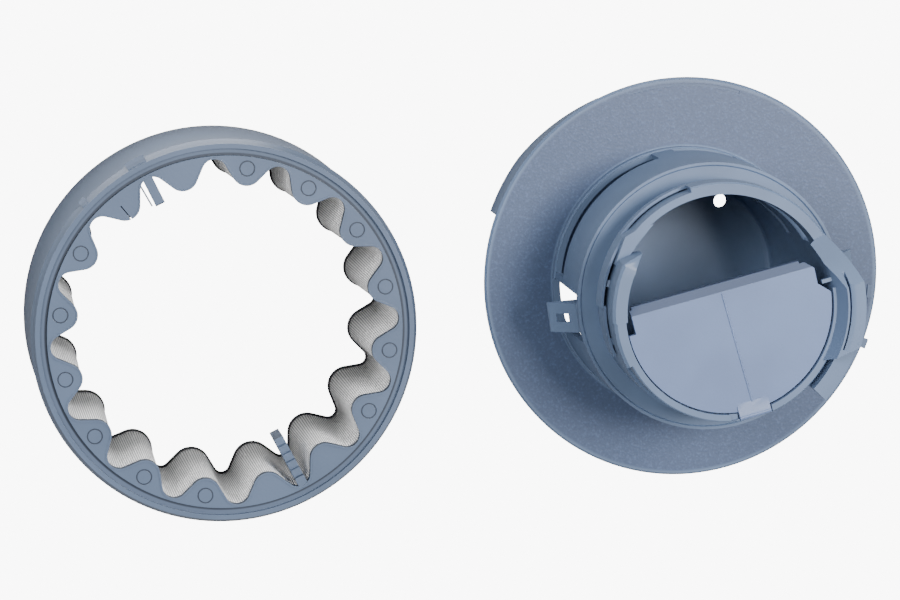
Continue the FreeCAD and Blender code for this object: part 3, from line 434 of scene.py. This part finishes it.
class FILTER_OT_ring_frame(bpy.types.Operator):
    """Strainer ring's moulding with softened edges"""
    bl_idname = "filter.ring_frame"
    bl_label = "Ring frame"

    def execute(self, context):
        colours, sizes = context.scene.filter_colours, context.scene.filter_sizes
        # the ring gets painted shade in its groove and moulding marks
        plastic = moulded_plastic("ring_plastic", colours.ring_plastic, RING_CENTRE, painted_shade_mask=groove_painted_shade)
        ring = rounded_copy("ring_frame", "ring_moulding", sizes.edge_round)
        take_on(ring, HOUSING, plastic.material)
        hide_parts("ring_frame")
        return {"FINISHED"}


class FILTER_OT_collar(bpy.types.Operator):
    """Flanged collar with softened edges and a grained flange"""
    bl_idname = "filter.collar"
    bl_label = "Collar"

    def execute(self, context):
        colours, sizes = context.scene.filter_colours, context.scene.filter_sizes
        collar = rounded_copy("collar", "collar_moulding", sizes.edge_round)
        take_on(collar, HOUSING, collar_plastic(colours.collar_plastic).material)
        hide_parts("collar")
        return {"FINISHED"}


class FILTER_OT_flap(bpy.types.Operator):
    """Half-moon flap with softened edges"""
    bl_idname = "filter.flap"
    bl_label = "Flap"

    def execute(self, context):
        colours, sizes = context.scene.filter_colours, context.scene.filter_sizes
        # the flap gets painted shade on the bevel along its straight edge
        plastic = moulded_plastic("flap_plastic", colours.flap_plastic, COLLAR_CENTRE, 0.2, chord_bevel_painted_shade)
        flap = rounded_copy("flap", "flap_moulding", sizes.edge_round)
        take_on(flap, FLAP, plastic.material)
        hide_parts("flap")
        return {"FINISHED"}


def direction(angle):
    """A step of one unit at an angle from X."""
    return Vector((math.cos(angle), math.sin(angle)))


def wave_point(offset, share):
    """A point of the wavy line, offset outwards; share runs from 0 to 1 over one lobe, from tip to tip."""
    half = math.pi / Wave.lobes
    tip_centre = (Wave.tip_radius + Wave.tip_round) * direction(0)
    valley_centre = (Wave.valley_radius - Wave.valley_round) * direction(half)
    between = valley_centre - tip_centre
    both_rounds = Wave.tip_round + Wave.valley_round
    square = math.atan2(between.y, between.x) + math.acos(both_rounds / between.length)
    tip_arc = Wave.tip_round * (math.pi - square)
    valley_arc = Wave.valley_round * (math.pi - square + half)
    flank_start = tip_centre + (Wave.tip_round - offset) * direction(square)
    flank_end = valley_centre - (Wave.valley_round + offset) * direction(square)
    flank = (flank_end - flank_start).length
    mirrored = share > 0.5
    along = 2 * (1 - share if mirrored else share) * (tip_arc + flank + valley_arc)
    if along < tip_arc:
        point = tip_centre + (Wave.tip_round - offset) * direction(math.pi - along / Wave.tip_round)
    elif along < tip_arc + flank:
        point = flank_start.lerp(flank_end, (along - tip_arc) / flank)
    else:
        turned = square + (along - tip_arc - flank) / Wave.valley_round
        point = valley_centre - (Wave.valley_round + offset) * direction(turned)
    if not mirrored:
        return point
    return Vector((
        point.x * math.cos(2 * half) + point.y * math.sin(2 * half),
        point.x * math.sin(2 * half) - point.y * math.cos(2 * half)))


def lobe_length():
    """Length of one lobe's line."""
    steps = 200
    points = [wave_point(0, step / steps) for step in range(steps + 1)]
    return sum((after - before).length for before, after in zip(points, points[1:]))


def on_ring(point, turn, height):
    """A point of the ring's own plan, put in the shared frame."""
    turned = Matrix.Rotation(turn + RING_TURN, 2) @ point
    return Vector((turned.x + RING_CENTRE.x, turned.y, height))


def by_angle(piece, count):
    """The corners of a piece's first circle, in order round its axis."""
    places = [corner.co for corner in piece.data.vertices]
    return sorted(range(count), key=lambda one: math.atan2(places[one].y, places[one].x) % (2 * math.pi))


def wavy_band(name, rows, per_lobe, ripple=0.0, ripples=1, closed=False):
    """A wavy band: a circle, extruded once for each further row, whose corners follow the wave.

    Each row is an offset outwards and a height; ripple makes the upright wires stand out."""
    deselect()
    count = per_lobe * Wave.lobes
    bpy.ops.mesh.primitive_circle_add(vertices=count, radius=Wave.valley_radius, location=(0, 0, 0))
    band = bpy.context.object
    band.name = name
    order = by_angle(band, count)
    bpy.ops.object.mode_set(mode="EDIT")
    bpy.ops.mesh.select_all(action="SELECT")
    for _ in rows[1:]:
        bpy.ops.mesh.extrude_region_move(TRANSFORM_OT_translate={"value": (0, 0, MM)})
    if closed:
        bpy.ops.mesh.select_all(action="SELECT")
        bpy.ops.mesh.region_to_loop()
        bpy.ops.mesh.bridge_edge_loops()
    bpy.ops.object.mode_set(mode="OBJECT")
    for row, (offset, height) in enumerate(rows):
        for step, index in enumerate(order):
            lobe, place = divmod(step, per_lobe)
            turn = 2 * math.pi * lobe / Wave.lobes
            wire = ripple * math.cos(2 * math.pi * ripples * place / per_lobe)
            point = wave_point(offset + wire, place / per_lobe)
            band.data.vertices[index + row * count].co = on_ring(point, turn, height)
    return band, order


def lay_out_weave(band, order, rows, per_lobe, ripples, pitch):
    """The weave's own map: wires counted along the wave, and pitches counted up the wall."""
    count = per_lobe * Wave.lobes
    step_of = {index: step for step, index in enumerate(order)}
    layer = band.data.uv_layers.new(name=WEAVE_MAP)
    for face in band.data.polygons:
        steps = [step_of[corner % count] for corner in face.vertices]
        wraps = max(steps) - min(steps) > count / 2
        for loop, corner, step in zip(face.loop_indices, face.vertices, steps):
            along = step + count if wraps and step < count / 2 else step
            height = rows[corner // count][1]
            layer.data[loop].uv = (along * ripples / per_lobe, height / pitch)


def face_outwards(piece):
    """Recalculate a closed piece's normals."""
    deselect()
    piece.select_set(True)
    bpy.context.view_layer.objects.active = piece
    bpy.ops.object.mode_set(mode="EDIT")
    bpy.ops.mesh.select_all(action="SELECT")
    bpy.ops.mesh.normals_make_consistent(inside=False)
    bpy.ops.object.mode_set(mode="OBJECT")


def thicken(piece, thick):
    """Give a sheet its thickness, half of it on each side."""
    face_outwards(piece)
    solid = piece.modifiers.new("thickness", "SOLIDIFY")
    solid.thickness = thick
    solid.offset = 0
    bpy.ops.object.modifier_apply(modifier=solid.name)


class FILTER_OT_mesh(bpy.types.Operator):
    """Woven steel mesh in its wave, leaning inwards to the near-black band of painted shadow at the back"""
    bl_idname = "filter.mesh"
    bl_label = "Woven mesh"

    def execute(self, context):
        colours, sizes = context.scene.filter_colours, context.scene.filter_sizes
        wires = round(lobe_length() / sizes.wire_pitch)
        per_lobe = wires * Wave.corners_per_wire
        rows = [(Wave.head - Wave.lean, MESH_LOW), (Wave.head, MESH_HIGH)]
        weave, order = wavy_band("woven_mesh", rows, per_lobe, sizes.wire_proud / 2, wires)
        lay_out_weave(weave, order, rows, per_lobe, wires, sizes.wire_pitch)
        thicken(weave, sizes.weave_thick)
        bpy.ops.object.shade_smooth()
        take_on(weave, HOUSING, woven_steel(colours.mesh_steel).material)
        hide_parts("mesh_sleeve")
        self.back_edge(colours, sizes)
        return {"FINISHED"}

    def back_edge(self, colours, sizes):
        """Thin dark band of painted shadow along the mesh's back edge, just inside the moulded hoop."""
        foot = Wave.head - Wave.lean
        inner = foot - sizes.edge_wide
        rows = [
            (foot, Wave.edge_foot),
            (inner, Wave.edge_foot),
            (inner, MESH_LOW),
            (foot, MESH_LOW + Wave.edge_slope),
        ]
        # a near-black band put where the shadow along the mesh's back edge falls: painted shadow
        edge, _ = wavy_band("mesh_back_edge", rows, Wave.edge_corners, closed=True)
        face_outwards(edge)
        bpy.ops.object.shade_smooth_by_angle(angle=Wave.edge_smooth)
        take_on(edge, HOUSING, painted_shadow_band(colours.back_edge).material)


def beyond_the_ring(paper):
    """White on the floor's strip beyond the ring and black elsewhere."""
    x, y, _ = paper.split(paper.place(RING_CENTRE))
    along = y.ramp(*Studio.strip_near) * (1.0 - y.ramp(*Studio.strip_far))
    return paper.mix(along * (1.0 - x.ramp(*Studio.strip_right)), (0, 0, 0), (1, 1, 1))


def sheet_of_paper(name, height, grey, glow, where=None):
    """A wide sheet under the object, marked as stage; where says which parts of it glow."""
    deselect()
    bpy.ops.mesh.primitive_plane_add(size=Studio.paper_wide, location=(0, 0, height))
    sheet = bpy.context.object
    sheet.name = name
    paper = Shader(name + "_paper")
    paper.set(Base_Color=(grey, grey, grey, 1), Roughness=0.9, Specular_IOR_Level=0.1)
    paper.set(Emission_Color=where(paper) if where else (1, 1, 1, 1), Emission_Strength=glow)
    sheet.data.materials.append(paper.material)
    return sheet


def lamp(name, at, size, power):
    """A square soft light that faces the middle of the object."""
    light = bpy.data.lights.new(name, "AREA")
    light.size = size
    light.energy = power
    made = bpy.data.objects.new(name, light)
    bpy.context.scene.collection.objects.link(made)
    made.location = at
    made.rotation_mode = "QUATERNION"
    made.rotation_quaternion = (Vector(at) - Studio.aimed_at).to_track_quat("Z", "Y")


def camera():
    """Camera as fitted to the round edges of both pieces."""
    lens = bpy.data.cameras.new("camera")
    lens.lens = View.focal_mm
    lens.sensor_width = View.sensor_mm
    lens.clip_start = 0.05
    lens.clip_end = 30
    made = bpy.data.objects.new("camera", lens)
    bpy.context.scene.collection.objects.link(made)
    lean = math.tan(View.tilt)
    up = Vector((lean * math.cos(View.direction), lean * math.sin(View.direction), -1)).normalized()
    across = up.cross(Vector((0, 1, 0))).normalized()
    along = across.cross(up)
    seen = Matrix((
        (across.x, -along.x, up.x),
        (-across.y, along.y, -up.y),
        (-across.z, along.z, -up.z),
    )).transposed()
    turn = Matrix.Rotation(-View.row_turn, 3, "Z")
    back = Vector((-across.z, along.z, -up.z)) * View.distance
    place = turn @ (back - View.collar_at) + COLLAR_CENTRE + Vector((0, 0, View.plane_height))
    made.matrix_world = Matrix.Translation(place) @ (turn @ seen).to_4x4()
    bpy.context.scene.camera = made


class FILTER_OT_stage(bpy.types.Operator):
    """White backdrop, grey floor, soft studio light and the camera"""
    bl_idname = "filter.stage"
    bl_label = "Stage"

    def execute(self, context):
        backdrop = sheet_of_paper("backdrop", -MM, 0.0, Studio.backdrop_glow)
        backdrop.visible_diffuse = False
        backdrop.visible_glossy = False
        floor = sheet_of_paper("floor", 0.0, Studio.floor_grey, Studio.strip_glow, beyond_the_ring)
        floor.visible_camera = False
        for settings in Studio.lamps:
            lamp(*settings)
        world = bpy.data.worlds.new("studio")
        context.scene.world = world
        world.use_nodes = True
        sky = world.node_tree.nodes["Background"]
        sky.inputs["Color"].default_value = (1, 1, 1, 1)
        sky.inputs["Strength"].default_value = Studio.fill
        camera()
        return {"FINISHED"}


class FILTER_PT_panel(bpy.types.Panel):
    """Lists the pieces and the sizes"""
    bl_label = "Dishwasher filter"
    bl_idname = "FILTER_PT_panel"
    bl_space_type = "VIEW_3D"
    bl_region_type = "UI"
    bl_category = "Filter"

    def draw(self, context):
        for operator in PIECES:
            self.layout.operator(operator.bl_idname)
        for group in (context.scene.filter_sizes, context.scene.filter_colours):
            for key in group.bl_rna.properties.keys():
                if key not in ("rna_type", "name"):
                    self.layout.prop(group, key)


PIECES = (FILTER_OT_ring_frame, FILTER_OT_mesh, FILTER_OT_collar, FILTER_OT_flap, FILTER_OT_stage)
CLASSES = (FilterSizes, FilterColours, *PIECES, FILTER_PT_panel)


def register():
    for item in CLASSES:
        bpy.utils.register_class(item)
    bpy.types.Scene.filter_sizes = bpy.props.PointerProperty(type=FilterSizes)
    bpy.types.Scene.filter_colours = bpy.props.PointerProperty(type=FilterColours)


def unregister():
    del bpy.types.Scene.filter_colours
    del bpy.types.Scene.filter_sizes
    for item in reversed(CLASSES):
        bpy.utils.unregister_class(item)


def main():
    register()
    bpy.ops.filter.ring_frame()
    bpy.ops.filter.mesh()
    bpy.ops.filter.collar()
    bpy.ops.filter.flap()
    bpy.ops.filter.stage()


if __name__ == "__main__":
    main()
